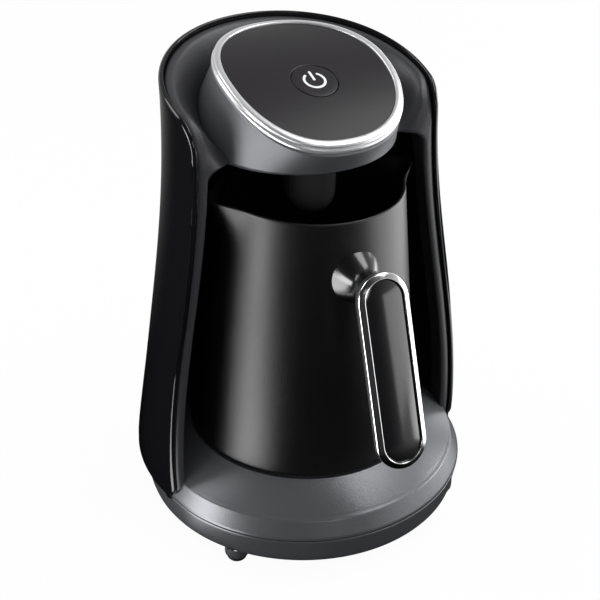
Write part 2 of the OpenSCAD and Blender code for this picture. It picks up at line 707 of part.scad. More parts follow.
cap_t = 2.2;
module button_cap() color("#2c2a2d") placed() difference() {
    intersection() {
        at_button() rod(button_r - button_gap, -cap_t, 5);
        bow_body(bow_r - 0.05);
    }
    at_button() icon(0.05, -0.9, 5);
}
module icon(off, z0, z1) translate([0, 0, z0]) linear_extrude(height = z1 - z0) {
    rotate(125) difference() {
        circle(r = 4.1 + off, $fn = 64);
        circle(r = 3.2 - off, $fn = 64);
        rotate(-35) translate([1.2, 1.2]) square(8);
    }
    translate([-0.45 - off, 1 - off]) square([0.9 + 2 * off, 4 + 2 * off]);
}
module button_icon() color("#f4f6f8") placed() at_button() icon(0, -0.85, -0.1);
module button_carrier() color("#e8e8e4") placed() at_button() {
    rod(button_r + 0.9, -panel_t - 1.6, -panel_t - 0.4);
    rod(button_r - button_gap - 0.6, -panel_t - 0.4, -cap_t - fit / 2);
    rod(2.2, board_t - board_drop + switch_h + 1.2, -panel_t - 1.6);
}
module switch_plunger() color("#e8e8e4") placed() at_button()
    rod(1.75, board_t - board_drop + 2.2, board_t - board_drop + switch_h + 1.15, 32);

outer_shell();
front_frame();
cavity_liner();
head_housing();
head_underside();
trim_ring();
top_panel();
control_board();
tact_switch();
buzzer();
indicator_led();
sensor_window();
sensor_board();
board_screws();
head_screws();
base_upper();
base_lower();
coupler_socket();
coupler_screws();
power_board();
power_relay();
terminal_block();
wire_loom();
cord_gland();
foot_front_left();
foot_front_right();
foot_rear_left();
foot_rear_right();
base_screws();
pot_body();
pot_base_cover();
pot_coupler();
heating_element();
heater_plate();
thermostat();
base_seal();
cover_screws();
handle_neck();
handle_grip();
handle_trim();
handle_inlay();
handle_screw();
button_cap();
button_icon();
button_carrier();
switch_plunger();
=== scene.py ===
import json
import math

import bmesh
import bpy
import numpy as np
from mathutils import Matrix, Vector


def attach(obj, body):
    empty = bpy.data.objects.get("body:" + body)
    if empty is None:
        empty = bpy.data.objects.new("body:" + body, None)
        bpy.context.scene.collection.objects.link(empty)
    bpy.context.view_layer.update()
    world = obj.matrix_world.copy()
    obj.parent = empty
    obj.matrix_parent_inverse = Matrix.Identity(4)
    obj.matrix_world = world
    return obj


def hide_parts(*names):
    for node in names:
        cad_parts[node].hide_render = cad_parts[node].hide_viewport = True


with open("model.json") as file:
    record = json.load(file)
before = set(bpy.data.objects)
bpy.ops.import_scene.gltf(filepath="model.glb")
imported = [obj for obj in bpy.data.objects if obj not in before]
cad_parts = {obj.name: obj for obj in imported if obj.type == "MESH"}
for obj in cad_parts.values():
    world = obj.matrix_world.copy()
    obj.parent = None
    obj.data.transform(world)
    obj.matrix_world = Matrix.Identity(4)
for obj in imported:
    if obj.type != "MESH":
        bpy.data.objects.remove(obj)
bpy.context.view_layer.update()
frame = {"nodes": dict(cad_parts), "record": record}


# ------------------------------------------------------------------ sizes in mm, as in the solids
SHIFT = -0.8                      # the solids' y in the frame less the y used here

# base: half width, middle, reach to the front and to the back
BASE_A, BASE_Y, BASE_F, BASE_B = 70.2, 2.4, 67.2, 79.2
# base: tray's floor, joint, shoulder, how far it leans in there, lip round the seat, seat
TRAY, SEAM, SHOULDER, SHOULDER_IN, LIP, SEAT = 5.4, 18.6, 26.2, 4.2, 35.6, 34.4
LIP_R, SEAT_R, SOCKET_R = 50.5, 45.3, 16.5
FEET = {
    "foot_front_left": (-50.2, -35.0), "foot_front_right": (50.2, -35.0),
    "foot_rear_left": (-50.2, 50.0), "foot_rear_right": (50.2, 50.0),
}

# outer shell: half widths at waist and heel, flare above the waist and tuck at the heel
WAIST_Z, WAIST_A, HEEL_A, FLARE, TUCK, TUCK_H = 171.4, 55.8, 72.1, 0.9, 0.6, 12
# outer shell: its back, which swings out to the heel and draws in at the rim, and its middle
BACK_Y, HEEL_OUT, HEEL_H, RIM_IN, RIM_IN_H = 70.0, 11.8, 60.0, 2.1, 8
MID_LOW, MID_TOP, MID_HEEL, MID_Z, RIM_LEVEL = 4.4, 14.6, 4, 40, 191.4
SHELL_T, ROUND_OUT, ROUND_IN = 2.0, 1.4, 0.5
# side profile: sloping rim, leaning front edge, round corner between them, round toe
RIM_Z, RIM_SLOPE, EDGE_Y, EDGE_SLOPE, CORNER_R, TOE_R = 180.1, 0.249, -14.2, 0.0705, 15.0, 6.0
EDGE_LEAN, RIM_LEAN = math.hypot(1, EDGE_SLOPE), math.hypot(1, RIM_SLOPE)

# front frame: strip width, step below the rim, depth of the dish and roll at its front
STRIP, INSET, DISH, ROLL = 4.5, 0.8, 13.5, 13.0
# front frame: soft edges along the shell, the dish, the bay and the arch in it, depth of the strips
SHELL_EDGE, DISH_EDGE, BAY_EDGE, ARCH_EDGE, STRIP_DEEP = 2.4, 2.0, 1.6, 1.0, 12
# bay: ceiling, half width of its arch, corner of the arch, height where it starts to narrow
CEILING, ARCH_A, ARCH_R, ARCH_Z = 161.9, 48.4, 7.0, 70

# head: foot, radius there, middle, wall, edge round the foot, and how its side bends on the way up
HEAD_Z, HEAD_R, HEAD_Y, HEAD_WALL, HEAD_ROUND, HEAD_BEND = 160.9, 42.0, 22.7, 3.2, 1.3, 1.25
# panel: radius, height and middle of its bow; half width, middle, reach to the front and back
BOW_R, BOW_Z, BOW_Y = 162.0, 35.4, 57.0
PANEL_A, PANEL_Y, PANEL_F, PANEL_B = 32.5, 12.0, 35.0, 35.6
BUTTON_Y, BUTTON_R = 5.33, 9.4
# sign on the button: radius of its arc, stroke, top and foot of its bar, half the gap in the arc
SIGN_R, SIGN_W, SIGN_TOP, SIGN_LOW, SIGN_GAP = 4.15, 1.05, 5.0, 0.3, math.radians(38)
# window: middle, lowest point, radius, depth of the dome, how much longer than wide
WINDOW_Y, WINDOW_Z, WINDOW_R, WINDOW_DEEP, WINDOW_LONG = 6.9, 133.2, 9.8, 11, 1.35

# pot: middle, foot and radius there, rim and radius there, wall
POT_Y, POT_Z, POT_R, POT_TOP, POT_TOP_R, POT_T = 4.66, 35.8, 49.4, 146.6, 37.6, 1.2
# pot: floor; reach, rise, height and spread in degrees of its two pouring lips
POT_FLOOR, SPOUT_OUT, SPOUT_UP, SPOUT_Z, SPOUT_SPREAD = POT_Z + 13, 8.2, 1.4, 24.0, 13

# handle: top of the grip, its length, width, lean and thickness; barrel of the neck
GRIP_Z, GRIP_Y, GRIP_L, GRIP_W, GRIP_LEAN, GRIP_T = 134.5, -52.4, 77.0, 21.6, math.radians(21.5), 5.6
NECK_Z, NECK_R, NECK_FLARE, NECK_CUFF = 123.4, 6.3, 4.2, 0.9

# points round a ring
HEAD_N, BASE_N, POT_N, SMALL_N = 240, 360, 360, 96


def lerp(a, b, t):
    return a + (b - a) * t


def clamp01(t):
    return np.clip(t, 0.0, 1.0)


def ease(t):
    return (1 - np.cos(np.pi * clamp01(t))) / 2


def turn(n):
    """n angles, once round."""
    return np.arange(n) * 2 * math.pi / n


def circle(n, r, z, y=0.0, x=0.0, stretch=1.0):
    """A level ring of n points; stretch makes it longer in y."""
    a = turn(n)
    return np.column_stack([x + r * np.cos(a), y + stretch * r * np.sin(a), np.full(n, z)])


# ------------------------------------------------------------------ the body's form
def heel(z, h):
    return (1 - clamp01((z - SEAM) / h)) ** 2


def side_a(z):
    """Half width of the shell at height z."""
    flare = FLARE * np.maximum(0, (z - WAIST_Z) / (RIM_LEVEL - WAIST_Z)) ** 2
    return lerp(HEEL_A, WAIST_A, ease((z - SEAM) / (WAIST_Z - SEAM))) + flare - TUCK * heel(z, TUCK_H)


def side_back(z):
    over = np.maximum(0, (z - WAIST_Z + RIM_IN_H) / (RIM_LEVEL - WAIST_Z + RIM_IN_H))
    return BACK_Y + HEEL_OUT * heel(z, HEEL_H) - RIM_IN * over ** 2


def side_y(z):
    """Middle of the shell's ellipse at height z."""
    up = ease((z - SEAM - MID_Z) / (RIM_LEVEL - SEAM - MID_Z))
    return lerp(MID_LOW, MID_TOP, up) + MID_HEEL * heel(z, HEEL_H - 15)


def side_b(z):
    return side_back(z) - side_y(z)


def rim_plane(y):
    return RIM_Z + RIM_SLOPE * y


def edge_y(z):
    return EDGE_Y + EDGE_SLOPE * z


def bow(y, r=BOW_R):
    """Height of the bowed panel."""
    return BOW_Z + np.sqrt(r * r - (y - BOW_Y) ** 2)


# ------------------------------------------------------------------ mesh making
def placed(name, me, finish, body, replaces):
    """A mesh becomes a piece that rides on a body and stands for the nodes it replaces."""
    me.polygons.foreach_set("use_smooth", [True] * len(me.polygons))
    ob = bpy.data.objects.new(name, me)
    bpy.context.scene.collection.objects.link(ob)
    me.materials.append(FINISH[finish])
    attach(ob, body)
    if replaces:
        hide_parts(*replaces)
    return ob


def sheet_of(rows, closed=True, cap_start=False, cap_end=False, flip=False):
    """A bmesh grid laid over rows of points.

    closed joins the last column to the first, and a cap fills the first or the last row.
    """
    rows = np.array([np.asarray(r, float) for r in rows])
    rows[:, :, 1] += SHIFT
    if closed:
        rows = np.concatenate([rows, rows[:, :1]], axis=1)
    r, c = rows.shape[:2]
    bm = bmesh.new()
    bmesh.ops.create_grid(bm, x_segments=c - 1, y_segments=r - 1, size=1)
    for v, co in zip(bm.verts, (rows.reshape(-1, 3) / 1000).tolist()):
        v.co = co
    bm.verts.ensure_lookup_table()
    if closed:
        ends = [bm.verts[k * c] for k in range(r)] + [bm.verts[k * c + c - 1] for k in range(r)]
        bmesh.ops.remove_doubles(bm, verts=ends, dist=1e-7)
    for want, row in ((cap_start, rows[0]), (cap_end, rows[-1])):
        if want:
            mid = Vector(row.mean(0) / 1000)
            reach = np.linalg.norm(row / 1000 - np.array(mid), axis=1).max() + 1e-5
            near = {v for v in bm.verts if (v.co - mid).length <= reach}
            rim = [e for e in bm.edges if e.is_boundary and near.issuperset(e.verts)]
            bmesh.ops.holes_fill(bm, edges=rim, sides=0)
    if flip:
        bmesh.ops.reverse_faces(bm, faces=bm.faces)
    return bm


def joined(sheets):
    """One bmesh from several."""
    whole = sheets[0]
    for bm in sheets[1:]:
        me = bpy.data.meshes.new("joined")
        bm.to_mesh(me)
        bm.free()
        whole.from_mesh(me)
        bpy.data.meshes.remove(me)
    return whole


def finish_piece(name, bm, finish, slot, body="machine", replaces=()):
    """A piece from a bmesh."""
    me = bpy.data.meshes.new(name)
    bm.to_mesh(me)
    bm.free()
    return placed(name, me, finish, body, replaces)


def loft(name, rings, finish, slot, cap_start=False, cap_end=False, flip=False, **kw):
    """A piece laid over closed rings, from the first to the last."""
    return finish_piece(name, sheet_of(rings, True, cap_start, cap_end, flip), finish, slot, **kw)


def smin(a, b, k):
    """The smaller of two, with a soft change between them where they differ by less than k."""
    h = np.maximum(k - np.abs(a - b), 0) / k
    return np.minimum(a, b) - h * h * k * 0.25


def smax(a, b, k):
    return -smin(-a, -b, k)


def slope_of(f, at, e=0.02):
    """How f grows in x, y and z at each point."""
    g = np.empty_like(at)
    for axis in range(3):
        d = np.zeros(3)
        d[axis] = e
        ahead, behind = at + d, at - d
        g[:, axis] = (f(*ahead.T) - f(*behind.T)) / (2 * e)
    return g


def soft_form(name, f, lo, hi, cell, finish, replaces):
    """The surface f = 0 of a form that is alike on both sides of x = 0, with f < 0 inside.

    Loops and bevels don't give forms that run into each other with long soft rolls. So space is
    cut into cells, each cell that the surface crosses gets a point, and the points move onto it.
    """
    nx = int(math.ceil(hi[0] / cell)) + 1
    xs = np.arange(nx) * cell
    ys = np.arange(lo[1], hi[1] + cell, cell)
    zs = np.arange(lo[2], hi[2] + cell, cell)
    half = np.empty((nx, len(ys), len(zs)), np.float32)
    for i in range(0, nx, 16):
        half[i:i + 16] = f(*np.meshgrid(xs[i:i + 16], ys, zs, indexing="ij"))
    value = np.concatenate([half[:0:-1], half])
    inside = value < 0
    n = np.array(value.shape) - 1
    corners = [(i, j, k) for i in (0, 1) for j in (0, 1) for k in (0, 1)]
    count = np.zeros(n, np.int8)
    for i, j, k in corners:
        count += inside[i:i + n[0], j:j + n[1], k:k + n[2]]
    crossed = (count > 0) & (count < 8)
    cells = np.argwhere(crossed)
    ids = np.full(crossed.shape, -1, np.int64)
    ids[crossed] = np.arange(len(cells))

    total, hits = np.zeros((len(cells), 3)), np.zeros(len(cells))
    for a in corners:
        for axis in (k for k in range(3) if not a[k]):
            b = list(a)
            b[axis] = 1
            va, vb = value[tuple((cells + a).T)].astype(float), value[tuple((cells + b).T)].astype(float)
            cross = (va < 0) != (vb < 0)
            point = (cells + a).astype(float)
            point[:, axis] += np.where(cross, va / np.where(cross, va - vb, 1), 0)
            total += point * cross[:, None]
            hits += cross
    points = total / hits[:, None] * cell + np.array([-xs[-1], ys[0], zs[0]])

    quads = []
    step = np.eye(3, dtype=int)
    for axis in range(3):
        u, v = (axis + 1) % 3, (axis + 2) % 3
        near, next_on = [slice(1, -1)] * 3, [slice(1, -1)] * 3
        near[axis], next_on[axis] = slice(0, -1), slice(1, None)
        a, b = inside[tuple(near)], inside[tuple(next_on)]
        at = np.argwhere(a != b)
        leaving = a[tuple(at.T)]
        at = at + np.where(np.arange(3) == axis, 0, 1)
        ring = (at - step[u] - step[v], at - step[v], at, at - step[u])
        quad = np.stack([ids[tuple(k.T)] for k in ring], 1)
        quad[~leaving] = quad[~leaving][:, ::-1]
        quads.append(quad)
    quads = np.concatenate(quads)
    quads = quads[(quads >= 0).all(1)]

    for _ in range(3):
        g = slope_of(f, points)
        move = g * (f(*points.T) / np.maximum((g * g).sum(1), 0.05))[:, None]
        length = np.linalg.norm(move, axis=1)
        points -= move * np.minimum(1, 0.5 * cell / np.maximum(length, 1e-9))[:, None]
    g = slope_of(f, points)
    g /= np.maximum(np.linalg.norm(g, axis=1), 1e-9)[:, None]
    points[:, 1] += SHIFT
    me = bpy.data.meshes.new(name)
    me.from_pydata((points / 1000).tolist(), [], quads.tolist())
    me.validate(clean_customdata=False)
    ob = placed(name, me, finish, "machine", replaces)
    me.normals_split_custom_set_from_vertices(g.tolist())
    return ob


# ------------------------------------------------------------------ finishes
def node(nt, kind, at=(0, 0), **values):
    """A shader node; values are its properties or the defaults of its inputs."""
    n = nt.nodes.new(kind)
    n.location = at
    for k, v in values.items():
        if k in n.inputs:
            n.inputs[k].default_value = v
        else:
            setattr(n, k, v)
    return n


def surface_group():
    """Fine grain in the bump, with a cloudy change of roughness and colour."""
    g = bpy.data.node_groups.new("surface_grain", "ShaderNodeTree")
    number = "NodeSocketFloat"
    for name, kind, value in (("Color", "NodeSocketColor", (0.5, 0.5, 0.5, 1)), ("Rough", number, 0.4),
                              ("Grain Scale", number, 2500.0), ("Grain", number, 0.1),
                              ("Cloud", number, 0.1), ("Wear", number, 0.15)):
        g.interface.new_socket(name=name, in_out="INPUT", socket_type=kind).default_value = value
    for name, kind in (("Color", "NodeSocketColor"), ("Rough", number), ("Normal", "NodeSocketVector")):
        g.interface.new_socket(name=name, in_out="OUTPUT", socket_type=kind)
    given, result = node(g, "NodeGroupInput", (-900, 0)), node(g, "NodeGroupOutput", (500, 0))
    place = node(g, "ShaderNodeTexCoord", (-900, -300))
    fine = node(g, "ShaderNodeTexNoise", (-600, -250), Detail=3.0, Roughness=0.6)
    cloud = node(g, "ShaderNodeTexNoise", (-600, 100), Scale=38.0, Detail=4.0, Roughness=0.55)
    g.links.new(place.outputs["Object"], fine.inputs["Vector"])
    g.links.new(place.outputs["Object"], cloud.inputs["Vector"])
    g.links.new(given.outputs["Grain Scale"], fine.inputs["Scale"])
    bump = node(g, "ShaderNodeBump", (100, -300), Distance=0.0002)
    g.links.new(given.outputs["Grain"], bump.inputs["Strength"])
    g.links.new(fine.outputs["Fac"], bump.inputs["Height"])
    g.links.new(bump.outputs["Normal"], result.inputs["Normal"])
    centred = node(g, "ShaderNodeMath", (-350, 100), operation="SUBTRACT")
    centred.inputs[1].default_value = 0.5
    g.links.new(cloud.outputs["Fac"], centred.inputs[0])
    rough = node(g, "ShaderNodeMath", (-150, 200), operation="MULTIPLY_ADD")
    g.links.new(centred.outputs[0], rough.inputs[0])
    g.links.new(given.outputs["Cloud"], rough.inputs[1])
    g.links.new(given.outputs["Rough"], rough.inputs[2])
    g.links.new(rough.outputs[0], result.inputs["Rough"])
    shade = node(g, "ShaderNodeMath", (-150, 0), operation="MULTIPLY_ADD")
    shade.inputs[2].default_value = 1.0
    g.links.new(centred.outputs[0], shade.inputs[0])
    g.links.new(given.outputs["Wear"], shade.inputs[1])
    tint = node(g, "ShaderNodeVectorMath", (100, 0), operation="SCALE")
    g.links.new(given.outputs["Color"], tint.inputs[0])
    g.links.new(shade.outputs[0], tint.inputs["Scale"])
    g.links.new(tint.outputs[0], result.inputs["Color"])
    return g


GRAIN = surface_group()


def new_finish(name, color, rough, metallic=0.0, grain=0.1, scale=2500.0, cloud=0.1,
               specular=0.5, coat=0.0, coat_rough=0.05):
    """A material with its own grain; specular and coat are for the glossy ones."""
    m = bpy.data.materials.new(name)
    m.use_nodes = True
    nt = m.node_tree
    shader = nt.nodes["Principled BSDF"]
    g = nt.nodes.new("ShaderNodeGroup")
    g.node_tree = GRAIN
    g.location = (-300, 100)
    for socket, value in (("Color", (*color, 1)), ("Rough", rough), ("Grain Scale", scale),
                          ("Grain", grain), ("Cloud", cloud)):
        g.inputs[socket].default_value = value
    nt.links.new(g.outputs["Color"], shader.inputs["Base Color"])
    nt.links.new(g.outputs["Rough"], shader.inputs["Roughness"])
    nt.links.new(g.outputs["Normal"], shader.inputs["Normal"])
    for socket, value in (("Metallic", metallic), ("Specular IOR Level", specular),
                          ("Coat Weight", coat), ("Coat Roughness", coat_rough)):
        shader.inputs[socket].default_value = value
    return m


LOOKS = {
    "gloss_black": dict(color=(0.006, 0.006, 0.007), rough=0.09, grain=0.02, scale=900, cloud=0.05),
    "inlay_black": dict(color=(0.006, 0.006, 0.007), rough=0.13, grain=0.01, scale=900, cloud=0.05,
                        specular=0.9, coat=1.0, coat_rough=0.12),
    "satin_black": dict(color=(0.006, 0.006, 0.0065), rough=0.2, grain=0.02, scale=2600, specular=0.9),
    "pot_black": dict(color=(0.006, 0.0055, 0.006), rough=0.33, grain=0.4, scale=2200),
    "black_plastic": dict(color=(0.006, 0.006, 0.0065), rough=0.5, grain=0.3, scale=3500),
    "charcoal": dict(color=(0.040, 0.0405, 0.044), rough=0.35, grain=0.25, scale=5200, cloud=0.08),
    "grey_metallic": dict(color=(0.150, 0.154, 0.163), rough=0.35, metallic=0.62, grain=0.32, scale=1500,
                          cloud=0.06),
    "head_grey": dict(color=(0.160, 0.164, 0.173), rough=0.46, metallic=0.6, grain=0.3, scale=1500,
                      cloud=0.06),
    "bright_edge": dict(color=(0.8, 0.8, 0.81), rough=0.14, metallic=1.0, grain=0.03, scale=4000,
                        cloud=0.05),
    "bright_trim": dict(color=(0.76, 0.76, 0.77), rough=0.3, metallic=0.7, grain=0.08, scale=5200,
                        cloud=0.05),
    "panel": dict(color=(0.016, 0.014, 0.016), rough=0.33, scale=6500, cloud=0.05, specular=0.3),
    "white_mark": dict(color=(0.85, 0.86, 0.88), rough=0.35, grain=0.02),
    "smoked_window": dict(color=(0.035, 0.034, 0.035), rough=0.16, grain=0.05, scale=900),
    "foot_rubber": dict(color=(0.018, 0.018, 0.019), rough=0.6, grain=0.4, scale=3000),
    "seal_red": dict(color=(0.22, 0.03, 0.02), rough=0.5),
    "board_green": dict(color=(0.02, 0.12, 0.05), rough=0.45),
    "part_dark": dict(color=(0.012, 0.012, 0.014), rough=0.5),
    "part_light": dict(color=(0.6, 0.6, 0.57), rough=0.5),
    "part_blue": dict(color=(0.03, 0.08, 0.28), rough=0.45),
    "cable_red": dict(color=(0.35, 0.02, 0.015), rough=0.5),
    "screw_steel": dict(color=(0.45, 0.46, 0.47), rough=0.3, metallic=1.0),
    "aluminium": dict(color=(0.55, 0.55, 0.56), rough=0.4, metallic=1.0),
    "brass": dict(color=(0.5, 0.34, 0.12), rough=0.35, metallic=1.0),
}
FINISH = {name: new_finish(name, **look) for name, look in LOOKS.items()}


def finish_solids():
    """The solids that stay visible or lie inside get the finish of their slot."""
    slot = {s["node"]: s["material_slot"] for s in frame["record"]["subparts"]}
    for name, ob in frame["nodes"].items():
        ob.data.materials.clear()
        ob.data.materials.append(FINISH[slot[name]])


# ------------------------------------------------------------------ outer shell
def arc_between(corner, u, v, r, n):
    """n + 1 points of an arc of radius r that rounds the corner from side u to side v."""
    half = math.acos(float(u @ v)) / 2
    centre = corner + (u + v) / np.linalg.norm(u + v) * r / math.sin(half)
    start, end = corner + u * r / math.tan(half) - centre, corner + v * r / math.tan(half) - centre
    t = np.linspace(0, 1, n + 1)[:, None]
    whole = math.acos(float(start @ end) / r / r)
    return centre + (np.sin((1 - t) * whole) * start + np.sin(t * whole) * end) / math.sin(whole)


def front_profile():
    """(y, z) from the toe at the joint up the front edge and round the corner into the rim."""
    z0 = SEAM + 0.1
    up = np.array([EDGE_SLOPE, 1.0]) / EDGE_LEAN
    back = np.array([1.0, RIM_SLOPE]) / RIM_LEAN
    top_y = (EDGE_Y + EDGE_SLOPE * RIM_Z) / (1 - EDGE_SLOPE * RIM_SLOPE)
    toe = arc_between(np.array([edge_y(z0), z0]), np.array([1.0, 0.0]), up, TOE_R, 10)
    corner = arc_between(np.array([top_y, rim_plane(top_y)]), -up, back, CORNER_R, 20)
    edge = np.linspace(0, 1, 41)[1:-1, None] * (corner[0] - toe[-1]) + toe[-1]
    return np.concatenate([toe, edge, corner])


def at_angle(t, z, off=0.0):
    """The point of the shell at angle t and height z, off mm under its face."""
    return np.stack([(side_a(z) - off) * np.cos(t), side_y(z) + (side_b(z) - off) * np.sin(t), z], -1)


def open_edge():
    """Angles and heights along the open edge of the right half, and how many lie before the rim."""
    pts = front_profile()
    z = pts[:, 1]
    t = np.arcsin(np.clip((pts[:, 0] - side_y(z)) / side_b(z), -1, 1))
    rim_t = np.linspace(t[-1], math.pi / 2, 61)[1:]
    rim_z = np.full_like(rim_t, z[-1])
    for _ in range(30):
        rim_z = rim_plane(side_y(rim_z) + side_b(rim_z) * np.sin(rim_t))
    return np.concatenate([t, rim_t]), np.concatenate([z, rim_z]), len(pts)


def unit(v):
    return v / np.linalg.norm(v, axis=1)[:, None]


def build_shell():
    """The wrap-round shell: outer face, rounded edge, inner face, mirrored to the left half."""
    t, z, before_rim = open_edge()
    foot_t = np.empty(len(t))
    foot_end = t[before_rim - 1] + 0.02
    foot_t[:before_rim] = np.linspace(t[0], foot_end, before_rim)
    foot_t[before_rim:] = np.linspace(foot_end, math.pi / 2, len(t) - before_rim + 1)[1:]
    foot_z = np.full(len(t), SEAM + 0.15)
    edge = at_angle(t, z)
    tiny = 1e-3
    normal = unit(np.cross(at_angle(t + tiny, z) - edge, at_angle(t, z + tiny) - edge))
    onward = np.gradient(edge, axis=0)
    onward[-1] = [-1, 0, 0]
    out = np.cross(normal, unit(onward))
    out *= np.sign((out * np.array([0, -1.0, 0.6])).sum(1))[:, None]
    out = unit(out)
    rows = []
    for u in np.concatenate([np.linspace(0, 0.9, 26), [0.95, 0.98, 1.0]]):
        # the face stops short of the edge by its rounding
        rows.append(at_angle(lerp(foot_t, t, u), lerp(foot_z, z, u)) - out * ROUND_OUT * u ** 8)
    for a in np.radians([25, 50, 75, 90]):
        rows.append(edge - out * ROUND_OUT * (1 - np.sin(a)) - normal * ROUND_OUT * (1 - np.cos(a)))
    for a in np.radians([90, 65, 40, 15, 0]):
        under = SHELL_T - ROUND_IN * (1 - np.cos(a))
        rows.append(edge - out * ROUND_IN * (1 - np.sin(a)) - normal * under)
    for u in (0.97, 0.9, 0.7, 0.45, 0.2, 0.0):
        rows.append(at_angle(lerp(foot_t, t, u), lerp(foot_z, z, u), SHELL_T))
    rows = np.array(rows)
    both_halves = np.concatenate([rows, (rows * np.array([-1, 1, 1]))[:, -2::-1]], axis=1)
    shell = sheet_of(both_halves.transpose(1, 0, 2), cap_start=True, cap_end=True, flip=True)
    for e in shell.edges:
        at_foot = max(v.co.z for v in e.verts) < (SEAM + 0.2) / 1000
        if at_foot and e.calc_face_angle() > math.radians(60):
            e.smooth = False
    finish_piece("outer_shell_skin", shell, "gloss_black", "gloss_black", replaces=["outer_shell"])


# ------------------------------------------------------------------ front frame: strips, collar and dish
def round_corner(u, v, r):
    """How far a point lies outside a corner rounded with r; u and v say how far outside each face."""
    u, v = u + r, v + r
    return np.hypot(np.maximum(u, 0), np.maximum(v, 0)) + np.minimum(np.maximum(u, v), 0) - r


def outside_body(x, y, z, off):
    a, b, c = side_a(z) - off, side_b(z) - off, side_y(z)
    q = np.sqrt((x / a) ** 2 + ((y - c) / b) ** 2)
    return (q - 1) * np.sqrt(x * x + (y - c) ** 2) / np.maximum(q, 1e-3)


def before_edge(y, z):
    return (edge_y(z) + INSET - y) / EDGE_LEAN


def outside_head(x, y, z):
    """Rough form of the head's side, to keep the collar clear of it."""
    t = clamp01((z - HEAD_Z) / 26) ** HEAD_BEND
    return np.hypot(x, y - lerp(HEAD_Y, PANEL_Y + 1, t)) - lerp(HEAD_R, 36.5, t) - 0.2


def dish_height(x, y):
    """Height of the collar: a land along the rim, then a dish that falls towards the head."""
    a, b, c = side_a(RIM_LEVEL) - SHELL_T, side_b(RIM_LEVEL) - SHELL_T, side_y(RIM_LEVEL)
    q = np.sqrt((x / a) ** 2 + ((y - c) / b) ** 2)
    t = clamp01((0.945 - q) / 0.24)
    return rim_plane(y) - INSET - DISH * t * t * (3 - 2 * t) + 0.4 * clamp01((q - 0.9) / 0.1)


def front_frame_form(x, y, z):
    body = outside_body(x, y, z, SHELL_T + 0.1)
    above_rim = (z - rim_plane(y) + INSET) / RIM_LEAN
    below_toe = SEAM + 0.1 - z
    profile = np.maximum(round_corner(before_edge(y, z), above_rim, CORNER_R - INSET),
                         round_corner(before_edge(y, z), below_toe, TOE_R - INSET))
    solid = smax(body, profile, SHELL_EDGE)
    above_dish = (z - dish_height(x, y)) * 0.75
    solid = np.maximum(solid, smax(before_edge(y, z), above_dish, ROLL))
    solid = smax(solid, above_dish, DISH_EDGE)
    half_width = lerp(side_a(SEAT), ARCH_A, clamp01((z - ARCH_Z) / (CEILING - ARCH_R - ARCH_Z)))
    arch = round_corner(np.abs(x) - half_width, z - CEILING, ARCH_R)
    bay = smax(outside_body(x, y, z, SHELL_T + STRIP), arch, ARCH_EDGE)
    solid = smax(solid, -bay, BAY_EDGE)
    behind_strips = smax(edge_y(z) + STRIP_DEEP - y, z - CEILING - 2, 0.5)
    solid = np.maximum(solid, -behind_strips)
    solid = np.maximum(solid, -outside_head(x, y, z))
    behind_edge = np.where(y < edge_y(z) + STRIP_DEEP + 1, -200, 0)
    return np.maximum(solid, CEILING + 1.0 - z + behind_edge)


def build_front_frame():
    cell = 0.75
    soft_form("front_frame_skin", front_frame_form, (0, -20, 14), (74, 76, 202), cell,
              "charcoal", ["front_frame"])


# ------------------------------------------------------------------ head, ring, panel, button
def keep_sign(v, power):
    return np.sign(v) * np.abs(v) ** power


def egg(off):
    """The panel's outline grown by off, squarer in front than behind."""
    s, c = np.sin(turn(HEAD_N)), np.cos(turn(HEAD_N))
    reach = np.where(s > 0, PANEL_B, PANEL_F) + off
    power = np.where(s > 0, 2 / 2.05, 2 / 2.35)
    return np.stack([(PANEL_A + off) * keep_sign(c, power), PANEL_Y + reach * keep_sign(s, power)], 1)


def under_bow(xy, drop, r=BOW_R):
    """The outline laid on the bowed panel, drop mm lower."""
    return np.column_stack([xy, bow(xy[:, 1], r) - drop])


BUTTON_TILT = math.asin((BOW_Y - BUTTON_Y) / BOW_R)


def button_ring(r):
    return circle(HEAD_N, r, 0.0, BUTTON_Y, stretch=math.cos(BUTTON_TILT))[:, :2]


def build_head():
    """A cup whose side bends from its round foot out to the panel's outline."""
    top, seat_bow = egg(2.6), BOW_R - HEAD_WALL
    top_z = bow(top[:, 1], seat_bow)
    foot = circle(HEAD_N, HEAD_R, HEAD_Z, HEAD_Y)[:, :2]
    rows = [circle(HEAD_N, HEAD_R - HEAD_WALL, HEAD_Z + up, HEAD_Y) for up in (3, 0.3)]
    for a in np.radians([0, 30, 60, 90]):
        r = HEAD_R - HEAD_ROUND * (1 - math.sin(a))
        rows.append(circle(HEAD_N, r, HEAD_Z + HEAD_ROUND * (1 - math.cos(a)), HEAD_Y))
    for t in np.linspace(0, 1, 30)[2:]:
        rows.append(np.column_stack([lerp(foot, top, t ** HEAD_BEND), lerp(HEAD_Z, top_z, t)]))
    rows.append(under_bow(egg(0.4), 0, seat_bow))
    loft("head_side", rows, "head_grey", "grey_metallic", replaces=["head_housing"])


def build_ring():
    """Broad crown, fine groove and lower lip, as (out from the panel's edge, up from its face) pairs."""
    profile = ((-0.05, -1.6), (-0.05, 0.1), (0.08, 0.42), (0.35, 0.6), (1.2, 0.68), (2.0, 0.62),
               (2.45, 0.42), (2.68, 0.05), (2.74, -0.45), (2.5, -0.62), (2.5, -1.0), (2.8, -1.12),
               (3.2, -1.35), (3.38, -1.75), (3.42, -2.6), (3.3, -3.1), (3.0, -3.4))
    rows = []
    for off, up in profile:
        x, y = egg(off).T
        tilt = np.arcsin((BOW_Y - y) / BOW_R)
        rows.append(np.column_stack([x, y - up * np.sin(tilt), bow(y) + up * np.cos(tilt)]))
    loft("ring_trim", rows, "bright_trim", "bright_trim", flip=True, replaces=["trim_ring"])


